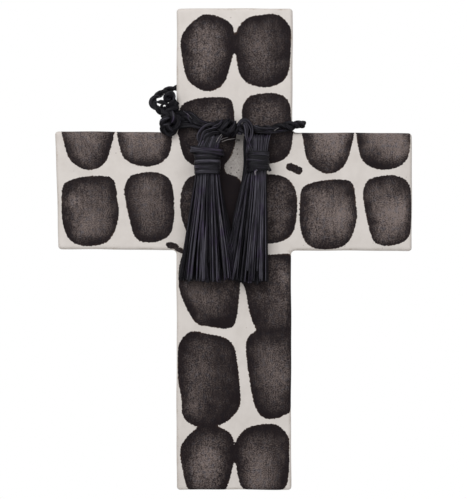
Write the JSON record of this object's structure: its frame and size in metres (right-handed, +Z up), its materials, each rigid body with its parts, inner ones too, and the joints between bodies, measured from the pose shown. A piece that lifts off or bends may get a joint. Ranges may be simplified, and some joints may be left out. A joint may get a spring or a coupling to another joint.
{
  "type": "decorative wall cross",
  "caption": "Flat cream wall cross with bold black painted spots, a twisted black raffia cord tied round the upright and two black raffia tassels on its front.",
  "frame": {"origin": "centre of the mouth of the blind hanging hole in the back, on the middle line of the upright", "axes": "+Z up along the upright, +X to the right seen from the front, +Y out of the back towards the wall, so the front faces -Y"},
  "size_m": [0.2519, 0.0362, 0.34],
  "materials": {
    "cream_glaze": "satin off-white with large black painted spots",
    "black_raffia": "dyed, with a soft waxy sheen"
  },
  "bodies": {
    "root": {"cross_slab": "cream_glaze", "tie_cord": "black_raffia", "tie_knot": "black_raffia", "left_tassel": "black_raffia", "left_tassel_winding": "black_raffia", "right_tassel": "black_raffia", "right_tassel_winding": "black_raffia"}
  },
  "joints": []
}
